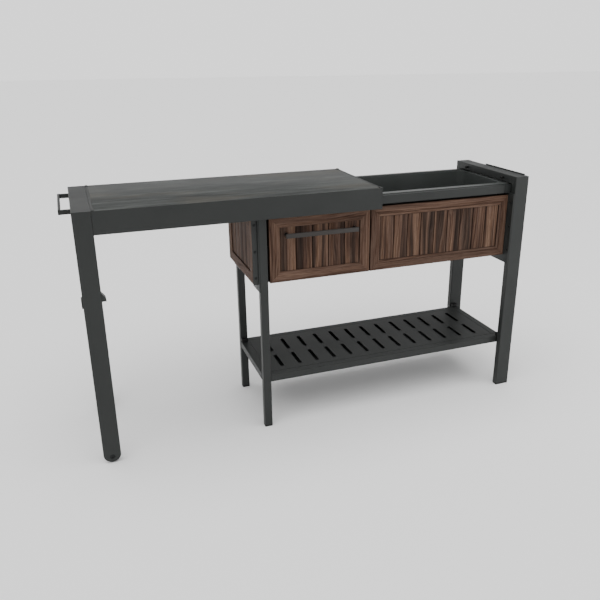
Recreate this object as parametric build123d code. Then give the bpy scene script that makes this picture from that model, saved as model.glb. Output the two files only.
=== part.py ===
from build123d import *
import os

# Outdoor serving console: a fixed stand with a drawer and a tub, and a long worktop that rolls
# out over it on its own legs.  Millimetres, +Z up, +Y to the back, -Y is the side people serve from.
# The pieces are laid out from the left face of the fixed stand (X = 0), the middle of its depth
# (Y = 0) and the floor (Z = 0).  export_node then moves them by -origin_x, so that the origin lies
# on the floor in the middle of the console as it stands, with the worktop rolled right out.

# Overall sizes
overall_height = 914.0
overall_depth = 436.0
stand_length = 1102.0
worktop_length = 1006.5

# End frames and posts
end_tube_width = 60.0
end_tube_depth = 26.0
beam_height = 30.0
post_width = 30.0
post_depth = 26.0
passing_gap = 6.5  # between the rolling legs and the stand that they pass
beam_clearance = 0.5  # between the rolling beam and the rear rail that it passes over
tube_wall = 2.0
tube_corner = 2.5
foot_height = 6.0
foot_plug = 14.0
plug_clearance = 0.1

# Rails that carry the worktop
rail_drop = 36.0  # from the top of the console to the top of the front rail
rail_height = 32.0
rail_cap_length = 34.0
rail_cap_seam = 2.0  # shadow line between a rail and its end block
cross_rail_width = 40.0
cross_rail_set_back = 8.0

# Cabinet
cabinet_height = 249.0
panel_thickness = 20.0
panel_recess = 1.0
panel_border = 40.0
panel_top_gap = 8.0
plank_thickness = 10.0
plank_set_back = 5.0
plank_gap = 0.8
plank_width_target = 60.0
sheet = 2.0
drawer_opening_gap = 8.5
drawer_front_width = 392.0
front_seam = 4.0
panel_side_gap = 0.5
side_panel_margin = 40.0  # from the front and back of the console

# Plates that tie the cabinet to its posts
plate_thickness = 4.0
plate_reach = 118.0  # from the front face of the console to the plate's inner edge
plate_drop = 30.0  # how far the plates reach under the cabinet
screw_count = 3
screw_inset = 25.0  # the lowest screw above the cabinet's bottom
screw_top_gap = 29.0
screw_radius = 2.5
screw_head_radius = 4.5
screw_head_height = 2.6
screw_clearance = 0.05
trim_thickness = 1.5

# Tub
tub_depth = 230.0
tub_rim_width = 29.0
tub_rim_thickness = 2.0
tub_rim_overlap = 4.5
tub_rear_rim = 4.2
tub_fit_gap = 0.3  # to the rear rail
tub_right_overlap = 6.0
tub_corner = 34.0
tub_floor_corner = 14.0
tub_end_rim = 24.0
tub_divider_gap = 6.0

# Shelf
shelf_top = 220.0
shelf_height = 28.0
shelf_border = 30.0
shelf_left_border = 32.0
shelf_sheet = 3.0
slot_count = 13
slot_end_margin = 54.5
slot_side_margin = 31.5
slot_width = 17.0
slot_row_gap = 36.0
shelf_right_tuck = 30.0
shelf_bracket_size = 13.0
shelf_bracket_inset = 2.0
shelf_bracket_edge = 4.0

# Worktop
worktop_edge_height = 78.0
apron_set_in = 6.0  # the rolling legs reach this much further in than the aprons
apron_wall = 2.5
top_board = 12.0
top_lip = 3.0
lip_overlap = 3.0
end_rail_height = 10.0
end_rail_width = 24.0
end_cap_thickness = 8.5
end_cap_proud = 2.0
rib_width = 40.0
rib_count = 3
closed_gap = 12.0  # left between the worktop and the fixed frame by the rubber stops
worktop_travel = 568.0

# Stops, rollers and wheels
stop_radius = 5.0
stop_spread = 130.0
stop_squeeze = 0.5
front_roller_radius = 9.0
rear_roller_radius = 7.5
roller_width = 12.0
roller_inset = 36.0
roller_offset = 167.0
rolling_gap = 0.3
roller_pin_radius = 2.5
bracket_sheet = 1.5
bracket_gap = 0.4
bracket_lift = 1.5  # above the rail
wheel_radius = 24.0
wheel_side_gap = 0.5
axle_radius = 4.0
axle_head_radius = 9.0
axle_head_height = 2.5
running_clearance = 0.05
fork_top = 52.0
fork_cheek = 4.0
fork_ground_gap = 4.0
fork_plug = 20.0
fork_crown_gap = 3.0

# Handles and catch
pull_reach = 37.5
pull_bar = 8.0
pull_bar_height = 16.0
pull_bar_corner = 3.0
pull_length = 268.0
pull_arm_overlap = 1.0
catch_bottom = 611.0
catch_height = 29.0
catch_slope = 18.0
catch_reach = 14.5
catch_knee = 13.5
catch_plate = 4.0
catch_back_drop = 16.0
catch_back_height = 32.0
catch_front_inset = 3.0
handle_length = 280.0
handle_height = 17.0
handle_thickness = 7.0
handle_stand_off = 18.0
handle_post_radius = 7.0
handle_post_inset = 8.0
handle_drop = 67.0  # from the top of the drawer front

# Drawer and its runners
drawer_top_gap = 3.0
drawer_box_lift = 17.0
drawer_box_top_gap = 59.0
drawer_back_gap = 13.0
runner_end_gap = 4.0
runner_front_gap = 2.0
runner_height = 45.0
runner_lift = 111.0  # from the cabinet's bottom to the middle of the runners
runner_sheet = 1.5
runner_play = 0.5
runner_lip = 8.0
drawer_front_play = 0.5

# Strip on the outside of the fixed frame
hanger_thickness = 3.0
hanger_drop = 28.0
hanger_proud = 4.0
hanger_front = 32.0
hanger_length = 268.0

# Places worked out from the sizes above
front = -overall_depth / 2
stand_inner = stand_length - end_tube_width
post_face = overall_depth / 2 - end_tube_depth - passing_gap
post_back = post_face - post_depth
frame_back = overall_depth / 2 - end_tube_depth
apron_thickness = end_tube_depth - apron_set_in
wheel_width = end_tube_depth - 2 * (fork_cheek + wheel_side_gap)
rail_top = overall_height - rail_drop
rail_bottom = rail_top - rail_height
beam_bottom = overall_height - beam_height
rear_rail_top = beam_bottom - beam_clearance  # higher, so that it keeps the worktop square
worktop_right = stand_inner - closed_gap - worktop_travel
worktop_left = worktop_right - worktop_length
leg_right = worktop_left
leg_left = leg_right - end_tube_width
apron_bottom = overall_height - worktop_edge_height
board_bottom = overall_height - top_board
panel_face = post_face - panel_recess
panel_back = panel_face - panel_thickness
panel_top = rail_bottom - panel_top_gap
cabinet_bottom = panel_top - cabinet_height
plate_bottom = cabinet_bottom - plate_drop
side_panel_length = overall_depth - 2 * side_panel_margin
drawer_left = post_width + drawer_opening_gap
drawer_right = drawer_left + drawer_front_width
drawer_top = apron_bottom - drawer_top_gap
drawer_box_bottom = cabinet_bottom + drawer_box_lift
drawer_box_height = drawer_top - drawer_box_bottom - drawer_box_top_gap
drawer_box_depth = 2 * panel_back - drawer_back_gap
runner_length = drawer_box_depth - 2 * runner_end_gap
runner_centre = cabinet_bottom + runner_lift
handle_centre = drawer_top - handle_drop
pull_height = overall_height - beam_height / 2
fixed_panel_left = drawer_right + front_seam
fixed_panel_right = stand_inner - plate_thickness - panel_side_gap
divider_left = drawer_right + drawer_front_play
divider_right = divider_left + sheet
tub_left = divider_right + tub_divider_gap
cross_rail_left = stand_inner + cross_rail_set_back
plate_inner = overall_depth / 2 - plate_reach
shelf_bottom = shelf_top - shelf_height
shelf_right = stand_inner + shelf_right_tuck
screw_pitch = (cabinet_height - screw_inset - screw_top_gap) / (screw_count - 1)
screw_heights = [cabinet_bottom + screw_inset + screw_pitch * i for i in range(screw_count)]
origin_x = (leg_left - pull_reach + stand_length + hanger_thickness) / 2


def export_node(name, *solids):
    # One STEP for each named piece; identical pieces share a file as separate solids.
    placed = [solid.moved(Location((-origin_x, 0, 0))) for solid in solids]
    shape = placed[0] if len(placed) == 1 else Compound(children=placed)
    export_step(shape, f"parts/{name}.step")


def bar(x, y, z, along, corner=tube_corner):
    # A rounded rectangular bar that fills the given (low, high) spans and runs along one axis.
    middle = [(low + high) / 2 for low, high in (x, y, z)]
    size = [high - low for low, high in (x, y, z)]
    if along == "x":
        section = Pos(middle[1], middle[2]) * outline(size[1], size[2], corner)
        return extrude(Plane.YZ.offset(x[0]) * section, size[0])
    if along == "y":
        section = Pos(middle[0], middle[2]) * outline(size[0], size[2], corner)
        return extrude(Plane.XZ.offset(-y[0]) * section, -size[1])
    section = Pos(middle[0], middle[1]) * outline(size[0], size[1], corner)
    return extrude(Plane.XY.offset(z[0]) * section, size[2])


def outline(width, height, corner):
    if corner <= 0:
        return Rectangle(width, height)
    return RectangleRounded(width, height, corner)


def inset(span, amount):
    return (span[0] + amount, span[1] - amount)


def tube(x, y, z, along, wall=tube_wall, corner=tube_corner, closed_top=False):
    # A hollow bar.  An upright can be closed at its top.
    outer = bar(x, y, z, along, corner)
    inner_corner = max(corner - wall, 0.5)
    if along == "x":
        return outer - bar(x, inset(y, wall), inset(z, wall), along, inner_corner)
    if along == "y":
        return outer - bar(inset(x, wall), y, inset(z, wall), along, inner_corner)
    cavity_top = z[1] - wall if closed_top else z[1]
    return outer - bar(inset(x, wall), inset(y, wall), (z[0], cavity_top), along, inner_corner)


def mirrored(solid):
    # The same piece on the other side of the console's middle.
    return solid.mirror(Plane.XZ)


def rod_x(x, y, z, radius):
    return Pos(x[0], y, z) * Rot(0, 90, 0) * Cylinder(
        radius, x[1] - x[0], align=(Align.CENTER, Align.CENTER, Align.MIN)
    )


def rod_y(x, y, z, radius):
    return Pos(x, y[0], z) * Rot(-90, 0, 0) * Cylinder(
        radius, y[1] - y[0], align=(Align.CENTER, Align.CENTER, Align.MIN)
    )


# Fixed stand ------------------------------------------------------------------------------


def screw_hole(x, y, z):
    return rod_x(x, y, z, screw_radius + screw_clearance)


def left_post():
    return tube((0, post_width), (-post_face, -post_back), (foot_height, rail_bottom), "z")


def right_post():
    y = (front, -frame_back)
    post = tube((stand_inner, stand_length), y, (foot_height, overall_height), "z", closed_top=True)
    for height in screw_heights:
        post -= screw_hole((stand_inner, stand_inner + tube_wall), right_screw_y, height)
    return post


right_screw_y = (front - frame_back) / 2


def right_top_beam():
    beam = tube(
        (stand_inner, stand_length), (-frame_back, frame_back), (beam_bottom, overall_height), "y"
    )
    return beam


def foot(x, y):
    # A plastic end cap: a pad under the tube and a plug inside it.
    pad = bar(x, y, (0, foot_height), "z")
    hole = tube_wall + plug_clearance
    plug = bar(inset(x, hole), inset(y, hole), (foot_height, foot_height + foot_plug), "z", 1.0)
    return pad + plug


def post_feet():
    left = foot((0, post_width), (-post_face, -post_back))
    right = foot((stand_inner, stand_length), (front, -frame_back))
    return [left, mirrored(left), right, mirrored(right)]


def rail(top):
    return tube((0, rail_right), rail_y, (rail_bottom, top), "x")


rail_y = (-post_face, -post_back)
rail_z = (rail_bottom, rail_top)
rail_right = stand_inner - rail_cap_length + cross_rail_set_back


def rail_end_block(top):
    z = (rail_bottom, top)
    block = bar((rail_right + rail_cap_seam, cross_rail_left), rail_y, z, "x", 1.0)
    hole = tube_wall + plug_clearance
    plug_x = (rail_right - foot_plug, rail_right + rail_cap_seam)
    plug = bar(plug_x, inset(rail_y, hole), inset(z, hole), "x", 1.0)
    return block + plug


def cross_rail(left, width):
    return tube((left, left + width), (-cross_end(left), cross_end(left)), rail_z, "y")


def cross_end(left):
    # The right cross rail reaches the posts of the end frame; the left one fits between the rails.
    return frame_back if left > stand_inner else post_back


def side_plate_left():
    # Welded to the post, so it has no screws.
    y = (-post_face, -plate_inner)
    return bar((-plate_thickness, 0), y, (plate_bottom, panel_top), "z", 0)


def side_plate_right():
    # Screwed to the post; a tab at its top carries the end of the rail.
    y = (front + panel_recess, -plate_inner)
    x = (stand_inner - plate_thickness, stand_inner)
    plate = bar(x, y, (plate_bottom, rail_bottom), "z", 0)
    for height in screw_heights:
        plate -= screw_hole(x, right_screw_y, height)
    tab_z = (rail_bottom - plate_thickness, rail_bottom)
    return plate + bar((stand_inner, cross_rail_left), (-frame_back, -post_back), tab_z, "x", 0)


def pan_screw():
    # Lies along +X: the head at X < 0 bears on a plate or trim, and the shank goes through it.
    head = Pos(-screw_head_height, 0, 0) * rod_x((0, screw_head_height), 0, 0, screw_head_radius)
    head = fillet(head.edges().sort_by(Axis.X)[0], screw_head_height * 0.6)
    return head + rod_x((0, plate_thickness + tube_wall), 0, 0, screw_radius)


def panel_screws():
    # One kind of screw holds the right-hand plates to their posts and the trims to the side panel.
    screws = []
    for height in screw_heights:
        trim = Pos(trim_middle, -side_panel_length / 2 - trim_thickness, height) * Rot(0, 0, 90)
        plate = Pos(stand_inner - plate_thickness, right_screw_y, height)
        for place in (trim, plate):
            screw = place * pan_screw()
            screws += [screw, mirrored(screw)]
    return screws


def hanger_strip():
    y = (front + hanger_front, front + hanger_front + hanger_length)
    z = (overall_height - hanger_drop, overall_height + hanger_proud)
    return bar((stand_length, stand_length + hanger_thickness), y, z, "y", 1.0)


def stop_buffer():
    x = (stand_inner - closed_gap + stop_squeeze, stand_inner)
    buffer = rod_x(x, -stop_spread, overall_height - beam_height / 2, stop_radius)
    return fillet(buffer.edges().sort_by(Axis.X)[0], 2.0)


# Cabinet ----------------------------------------------------------------------------------


def cabinet_floor():
    return bar((post_width, stand_inner - plate_thickness - sheet), (-panel_back, panel_back),
               (cabinet_bottom, cabinet_bottom + sheet), "z", 0)


def cabinet_wall(left, inner_face):
    return bar((left, left + sheet), (-inner_face, inner_face),
               (cabinet_bottom + sheet, rail_bottom), "z", 0)


def framed_panel(width, height):
    # A mitred frame around upright planks.  It stands on z = 0, its show face at y = 0.
    half = width / 2
    inner = half - panel_border
    side = [(half, 0), (half, height), (inner, height - panel_border), (inner, panel_border)]
    bottom = [(-half, 0), (half, 0), (inner, panel_border), (-inner, panel_border)]
    top = [(x, height - z) for x, z in bottom]
    other_side = [(-x, z) for x, z in side]
    frame = [board(points, 0, panel_thickness) for points in (bottom, side, top, other_side)]
    plank_count = max(1, round(2 * inner / plank_width_target))
    pitch = 2 * inner / plank_count
    planks = []
    for i in range(plank_count):
        left = -inner + pitch * i + plank_gap / 2
        right = left + pitch - plank_gap
        z = (panel_border, height - panel_border)
        y = (plank_set_back, plank_set_back + plank_thickness)
        planks.append(bar((left, right), y, z, "z", 0))
    return frame, planks


def board(points, y, thickness):
    face = make_face(Polyline(*[(x, z) for x, z in points], close=True).edges())
    return Pos(0, y, 0) * extrude(Plane.XZ * face, -thickness)


def placed_panel(left, right, bottom, top, turn, distance):
    # turn is 0 for the front, 180 for the back and -90 for the left end.
    frame, planks = framed_panel(right - left, top - bottom)
    middle = (left + right) / 2
    across = {0: (middle, -distance), 180: (middle, distance), -90: (-distance, middle)}[turn]
    place = Pos(across[0], across[1], bottom) * Rot(0, 0, turn)
    return [place * solid for solid in frame], [place * solid for solid in planks]


trim_middle = -plate_thickness - panel_thickness / 2


def trim_screw_holes():
    # Through a trim and into the end of the side panel.
    reach = plate_thickness + tube_wall - trim_thickness
    radius = screw_radius + screw_clearance
    y = (-side_panel_length / 2 - trim_thickness, -side_panel_length / 2 + reach)
    return [rod_y(trim_middle, y, height, radius) for height in screw_heights]


def side_trim():
    # Sheet-metal strip over the front edge of the side panel.
    y = -side_panel_length / 2
    x = (-plate_thickness - panel_thickness, -plate_thickness)
    trim = bar(x, (y - trim_thickness, y), (cabinet_bottom, panel_top), "z", 0)
    for hole in trim_screw_holes():
        trim -= hole
    return trim


def drilled(frame):
    # The side panel's uprights, with the holes for the trim screws.
    for hole in trim_screw_holes():
        frame = [solid - hole - mirrored(hole) for solid in frame]
    return frame


def tub():
    # The front rim lies on the front rail; the rear one stops against the taller rear rail.
    rim_x = (tub_left, cross_rail_left + tub_right_overlap)
    rim_y = (-post_back - tub_rim_overlap, post_back - tub_fit_gap)
    inner_x = inset(rim_x, tub_end_rim)
    inner_y = (rim_y[0] + tub_rim_width, rim_y[1] - tub_rear_rim)
    rim_z = (rail_top, rail_top + tub_rim_thickness)
    bowl_bottom = rail_top - tub_depth
    rim = bar(rim_x, rim_y, rim_z, "z", 3.0)
    bowl = bar(inset(inner_x, -sheet), inset(inner_y, -sheet), (bowl_bottom, rail_top), "z",
               tub_corner + sheet)
    bowl = fillet(bowl.edges().group_by(Axis.Z)[0], tub_floor_corner + sheet)
    inside = bar(inner_x, inner_y, (bowl_bottom + sheet, rim_z[1] + 1), "z", tub_corner)
    inside = fillet(inside.edges().group_by(Axis.Z)[0], tub_floor_corner)
    return rim + bowl - inside


# Shelf ------------------------------------------------------------------------------------


def shelf_frame():
    z = (shelf_bottom, shelf_top)
    long_member = tube((post_width, shelf_right), (-post_face, -post_face + shelf_border), z, "x")
    inner_y = post_face - shelf_border
    left = tube((0, shelf_left_border), (-inner_y, inner_y), z, "y")
    right = tube((shelf_right - shelf_left_border, shelf_right), (-inner_y, inner_y), z, "y")
    return [long_member, mirrored(long_member), left, right]


def shelf_panel():
    # A closed tray: the slots go through its top sheet, and its bottom sheet is whole.
    x = (shelf_left_border, shelf_right - shelf_left_border)
    inner_y = post_face - shelf_border
    y = (-inner_y, inner_y)
    panel = bar(x, y, (shelf_bottom, shelf_top), "z", 0)
    hollow_z = (shelf_bottom + shelf_sheet, shelf_top - shelf_sheet)
    panel -= bar(inset(x, shelf_sheet), inset(y, shelf_sheet), hollow_z, "z", 0)
    middle = (x[0] + x[1]) / 2
    slot_pitch = (x[1] - x[0] - 2 * slot_end_margin - slot_width) / (slot_count - 1)
    slot_length = (y[1] - y[0] - slot_row_gap) / 2 - slot_side_margin
    row = (slot_row_gap + slot_length) / 2
    slot = SlotOverall(slot_length, slot_width, rotation=90)
    for i in range(slot_count):
        slot_x = middle + slot_pitch * (i - (slot_count - 1) / 2)
        for slot_y in (-row, row):
            panel -= extrude(Plane.XY.offset(hollow_z[1]) * Pos(slot_x, slot_y) * slot, shelf_sheet)
    return panel


def shelf_brackets():
    size = shelf_bracket_size
    inside_post = inset((0, post_width), shelf_bracket_inset)
    left = bar(inside_post, (-post_back, -post_back + size), (shelf_top, shelf_top + size),
               "x", 1.5)
    right = bar((stand_inner + shelf_bracket_edge, shelf_right), (-frame_back, -post_face + size),
                (shelf_top, shelf_top + size), "x", 1.5)
    return [left, mirrored(left), right, mirrored(right)]


# Worktop and rolling end frame ------------------------------------------------------------


def top_panel():
    depth = overall_depth / 2 - top_lip
    x = (worktop_left + end_cap_thickness, worktop_right - end_cap_thickness)
    return bar(x, (-depth, depth), (board_bottom, overall_height), "z", 0)


def apron():
    # A box profile under the board with a lip that hides the board's edge.
    x = (worktop_left + end_cap_thickness, worktop_right - end_cap_thickness)
    y = (front, front + apron_thickness)
    profile = tube(x, y, (apron_bottom, board_bottom), "x", apron_wall, 1.5)
    lip = bar(x, (front, front + top_lip), (board_bottom - lip_overlap, overall_height), "x", 1.2)
    return profile + lip


def corner_cap(left):
    # Plastic cap over the end of an apron, with a plug inside it.
    right = left + end_cap_thickness
    y = (front, front + apron_thickness)
    cap = bar((left, right), y, (apron_bottom, overall_height + end_cap_proud), "x", 2.5)
    hole = apron_wall + plug_clearance
    plug_x = (right, right + foot_plug) if left < worktop_left + 1 else (left - foot_plug, left)
    plug = bar(plug_x, inset(y, hole), (apron_bottom + hole, board_bottom - hole), "x", 1.0)
    return cap + plug


def corner_caps():
    left = corner_cap(worktop_left)
    right = corner_cap(worktop_right - end_cap_thickness)
    return [left, mirrored(left), right, mirrored(right)]


def end_rail(x):
    y = overall_depth / 2 - apron_thickness
    return bar(x, (-y, y), (board_bottom - end_rail_height, board_bottom), "y", 1.0)


def left_end_rail():
    # Lies against the rolling frame's beam and is screwed to it.
    return end_rail((leg_right, leg_right + end_rail_width))


def right_end_rail():
    return end_rail((worktop_right - end_rail_width, worktop_right - sheet))


def board_edge(left):
    # Trim that closes the end of the board between the corner caps.
    y = overall_depth / 2 - apron_thickness
    z = (board_bottom, overall_height)
    return bar((left, left + end_cap_thickness), (-y, y), z, "y", 1.2)


def board_edges():
    return [board_edge(worktop_left), board_edge(worktop_right - end_cap_thickness)]


def ribs():
    y = overall_depth / 2 - apron_thickness
    z = (board_bottom - end_rail_height, board_bottom)
    pitch = worktop_length / (rib_count + 1)
    solids = []
    for i in range(rib_count):
        middle = worktop_left + pitch * (i + 1)
        solids.append(tube((middle - rib_width / 2, middle + rib_width / 2), (-y, y), z, "y", 1.5, 1.6))
    return solids


def rolling_leg():
    y = (front, -frame_back)
    return tube((leg_left, leg_right), y, (fork_top, overall_height), "z", closed_top=True)


def cap_beam():
    z = (beam_bottom, overall_height)
    return tube((leg_left, leg_right), (-frame_back, frame_back), z, "y")


def wheel_fork():
    middle = (leg_left + leg_right) / 2
    half = end_tube_width / 2
    y = (front, -frame_back)
    round_centre = fork_ground_gap + half
    cheeks = rod_y(middle, y, round_centre, half)
    cheeks -= bar((leg_left, leg_right), y, (round_centre, round_centre + half), "y", 0)
    cheeks += bar((leg_left, leg_right), y, (round_centre, fork_top), "y", 0)
    crown_bottom = 2 * wheel_radius + fork_crown_gap
    slot = bar((leg_left, leg_right), inset(y, fork_cheek), (0, fork_top), "y", 0)
    crown = bar((leg_left, leg_right), inset(y, fork_cheek), (crown_bottom, fork_top), "y", 0)
    hole = tube_wall + plug_clearance
    plug = bar(inset((leg_left, leg_right), hole), inset(y, hole), (fork_top, fork_top + fork_plug),
               "z", 1.0)
    fork = cheeks - slot + crown + plug
    return fork - rod_y(middle, inset(y, -1), wheel_radius, axle_radius + running_clearance)


def axle_bolt():
    middle = (leg_left + leg_right) / 2
    shank = rod_y(middle, (front, -frame_back), wheel_radius, axle_radius)
    head = rod_y(middle, (front - axle_head_height, front), wheel_radius, axle_head_radius)
    head = fillet(head.edges().sort_by(Axis.Y)[0], axle_head_height * 0.6)
    return shank + head


def wheel():
    middle = (leg_left + leg_right) / 2
    centre = (front - frame_back) / 2
    y = (centre - wheel_width / 2, centre + wheel_width / 2)
    tyre = rod_y(middle, y, wheel_radius, wheel_radius)
    tyre = fillet(tyre.edges(), 2.5)
    return tyre - rod_y(middle, y, wheel_radius, axle_radius + running_clearance)


roller_x = worktop_right - roller_inset
roller_y = (-roller_offset - roller_width, -roller_offset)
bracket_y = inset(roller_y, -bracket_gap - bracket_sheet)


def roller(top, radius):
    # Runs on the rail whose top is given.
    centre = top + rolling_gap + radius
    body = rod_y(roller_x, roller_y, centre, radius)
    body = chamfer(body.edges(), 0.8)
    return body - rod_y(roller_x, roller_y, centre, roller_pin_radius + running_clearance)


def roller_bracket(top, radius):
    # A folded bracket under the board: two cheeks and a top.
    x = (roller_x - radius, roller_x + radius)
    z = (top + bracket_lift, board_bottom)
    bracket = bar(x, bracket_y, z, "z", 0)
    bracket -= bar(x, inset(bracket_y, bracket_sheet), (z[0], board_bottom - bracket_sheet), "z", 0)
    centre = top + rolling_gap + radius
    return bracket - rod_y(roller_x, bracket_y, centre, roller_pin_radius + running_clearance)


def roller_pin(top, radius):
    return rod_y(roller_x, bracket_y, top + rolling_gap + radius, roller_pin_radius)


def pull_handle():
    half = pull_length / 2
    z = (pull_height - pull_bar_height / 2, pull_height + pull_bar_height / 2)
    grip_x = (leg_left - pull_reach, leg_left - pull_reach + pull_bar)
    arm_x = (leg_left - pull_reach + pull_arm_overlap, leg_left)
    grip = bar(grip_x, (-half, half), z, "y", pull_bar_corner)
    arm = bar(arm_x, (-half, -half + pull_bar), z, "x", pull_bar_corner)
    return grip + arm + mirrored(arm)


def leg_catch():
    # A bent plate round the back of the front leg, with a sloped nose towards the cabinet.
    y = (front + catch_front_inset, -frame_back)
    top = catch_bottom + catch_height
    nose = [(0, catch_bottom), (catch_reach, catch_bottom), (catch_knee, top - catch_slope), (0, top)]
    nose = [(leg_right + x, z) for x, z in nose]
    nose_solid = board(nose, y[0], y[1] + catch_plate - y[0])
    back_bottom = catch_bottom - catch_back_drop
    z_back = (back_bottom, back_bottom + catch_back_height)
    back = bar((leg_left - catch_plate, leg_right), (y[1], y[1] + catch_plate), z_back, "z", 0)
    outer = bar((leg_left - catch_plate, leg_left), (y[0], y[1] + catch_plate), z_back, "z", 0)
    return nose_solid + back + outer


# Drawer -----------------------------------------------------------------------------------


runner_room = runner_sheet + runner_play
drawer_box_left = post_width + 2 * runner_room + runner_lip
drawer_box_right = divider_left - 2 * runner_room - runner_lip


def drawer_box():
    x = (drawer_box_left, drawer_box_right)
    y = (-panel_back, -panel_back + drawer_box_depth)
    z = (drawer_box_bottom, drawer_box_bottom + drawer_box_height)
    box = bar(x, y, z, "z", 0)
    return box - bar(inset(x, sheet), inset(y, sheet), (z[0] + sheet, z[1] + 1), "z", 0)


def runner_channel(step, depth):
    # step 0 is screwed to the cabinet, 1 is the middle member and 2 is on the drawer.
    x = (post_width + runner_room * step, post_width + depth)
    half = runner_height / 2 - runner_room * step
    y = (-panel_back + runner_front_gap, -panel_back + runner_front_gap + runner_length)
    z = (runner_centre - half, runner_centre + half)
    channel = bar(x, y, z, "y", 0)
    if step == 2:
        return channel
    hollow_x = (x[0] + runner_sheet, x[1])
    return channel - bar(hollow_x, y, inset(z, runner_sheet), "y", 0)


def runner_pair(step, depth):
    left = runner_channel(step, depth)
    middle = (post_width + divider_left) / 2
    return [left, left.mirror(Plane.YZ.offset(middle))]


def drawer_handle():
    z = (handle_centre - handle_height / 2, handle_centre + handle_height / 2)
    return bar(handle_x, (handle_face, handle_face + handle_thickness), z, "x", 2.0)


def handle_posts():
    # Round distance pieces between the bar and the planks behind the frame's face.
    y = (handle_face + handle_thickness, -panel_face + plank_set_back)
    return [rod_y(x, y, handle_centre, handle_post_radius) for x in inset(handle_x, handle_post_inset)]


handle_middle = (drawer_left + drawer_right) / 2
handle_x = (handle_middle - handle_length / 2, handle_middle + handle_length / 2)
handle_face = -panel_face - handle_stand_off - handle_thickness


def export_stand():
    front_post = left_post()
    frame_post = right_post()
    export_node("left_front_post", front_post)
    export_node("left_rear_post", mirrored(front_post))
    export_node("right_front_post", frame_post)
    export_node("right_rear_post", mirrored(frame_post))
    export_node("right_top_beam", right_top_beam())
    export_node("post_feet", *post_feet())
    export_node("front_rail", rail(rail_top))
    export_node("rear_rail", mirrored(rail(rear_rail_top)))
    export_node("rail_end_blocks", rail_end_block(rail_top), mirrored(rail_end_block(rear_rail_top)))
    export_node("left_cross_rail", cross_rail(0, post_width))
    export_node("right_cross_rail", cross_rail(cross_rail_left, cross_rail_width))
    export_node("left_side_plates", side_plate_left(), mirrored(side_plate_left()))
    export_node("right_side_plates", side_plate_right(), mirrored(side_plate_right()))
    export_node("panel_screws", *panel_screws())
    export_node("hanger_strip", hanger_strip())
    export_node("stop_buffers", stop_buffer(), mirrored(stop_buffer()))


def export_cabinet():
    export_node("cabinet_floor", cabinet_floor())
    export_node("cabinet_left_wall", cabinet_wall(post_width - sheet, post_back))
    export_node("cabinet_right_wall", cabinet_wall(stand_inner - plate_thickness - sheet, panel_back))
    export_node("cabinet_divider", cabinet_wall(divider_left, panel_back))
    sides = {
        "front_panel": (fixed_panel_left, fixed_panel_right, cabinet_bottom, panel_top, 0, panel_face),
        "rear_panel": (drawer_left, fixed_panel_right, cabinet_bottom, panel_top, 180, panel_face),
        "side_panel": (-side_panel_length / 2, side_panel_length / 2, cabinet_bottom, panel_top, -90,
                       plate_thickness + panel_thickness),
    }
    for name, place in sides.items():
        frame, planks = placed_panel(*place)
        if name == "side_panel":
            frame = drilled(frame)
        export_node(f"{name}_frame", *frame)
        export_node(f"{name}_planks", *planks)
    export_node("side_panel_trims", side_trim(), mirrored(side_trim()))
    export_node("tub", tub())


def export_shelf():
    export_node("shelf_frame", *shelf_frame())
    export_node("shelf_panel", shelf_panel())
    export_node("shelf_brackets", *shelf_brackets())


def export_worktop():
    export_node("top_panel", top_panel())
    export_node("board_edge_trims", *board_edges())
    export_node("front_apron", apron())
    export_node("rear_apron", mirrored(apron()))
    export_node("corner_caps", *corner_caps())
    export_node("left_end_rail", left_end_rail())
    export_node("right_end_rail", right_end_rail())
    export_node("underside_ribs", *ribs())
    export_node("rolling_front_leg", rolling_leg())
    export_node("rolling_rear_leg", mirrored(rolling_leg()))
    export_node("cap_beam", cap_beam())
    export_node("pull_handle", pull_handle())
    export_node("leg_catch", leg_catch())
    export_node("wheel_forks", wheel_fork(), mirrored(wheel_fork()))
    export_node("axle_bolts", axle_bolt(), mirrored(axle_bolt()))
    export_node("front_wheel", wheel())
    export_node("rear_wheel", mirrored(wheel()))
    front_place = (rail_top, front_roller_radius)
    rear_place = (rear_rail_top, rear_roller_radius)
    export_node("front_roller", roller(*front_place))
    export_node("rear_roller", mirrored(roller(*rear_place)))
    export_node("roller_brackets", roller_bracket(*front_place), mirrored(roller_bracket(*rear_place)))
    export_node("roller_pins", roller_pin(*front_place), mirrored(roller_pin(*rear_place)))


def export_drawer():
    frame, planks = placed_panel(drawer_left, drawer_right, cabinet_bottom, drawer_top, 0, panel_face)
    export_node("drawer_box", drawer_box())
    export_node("drawer_front_frame", *frame)
    export_node("drawer_front_planks", *planks)
    export_node("drawer_handle", drawer_handle())
    export_node("handle_posts", *handle_posts())
    for step, name in enumerate(("outer_runners", "middle_runners", "inner_runners")):
        depth = 2 * runner_room + runner_lip if step == 2 else runner_room * step + runner_lip
        export_node(name, *runner_pair(step, depth))


os.makedirs("parts", exist_ok=True)
export_stand()
export_cabinet()
export_shelf()
export_worktop()
export_drawer()
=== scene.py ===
import math
import random

import bmesh
import bpy
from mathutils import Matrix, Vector


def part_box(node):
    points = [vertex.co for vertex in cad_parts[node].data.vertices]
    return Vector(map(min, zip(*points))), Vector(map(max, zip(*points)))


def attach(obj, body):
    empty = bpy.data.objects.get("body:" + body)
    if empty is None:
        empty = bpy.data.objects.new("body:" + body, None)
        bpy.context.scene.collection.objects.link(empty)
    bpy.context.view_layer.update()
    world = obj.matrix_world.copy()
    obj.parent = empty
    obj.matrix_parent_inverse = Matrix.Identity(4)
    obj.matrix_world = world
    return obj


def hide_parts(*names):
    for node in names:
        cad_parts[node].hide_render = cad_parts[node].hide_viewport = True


# Outdoor serving console: charcoal powder-coated tube, walnut cladding, grey printed board.
# Metres; +Z up, +X towards the fixed end frame, -Y is the serving side.

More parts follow.
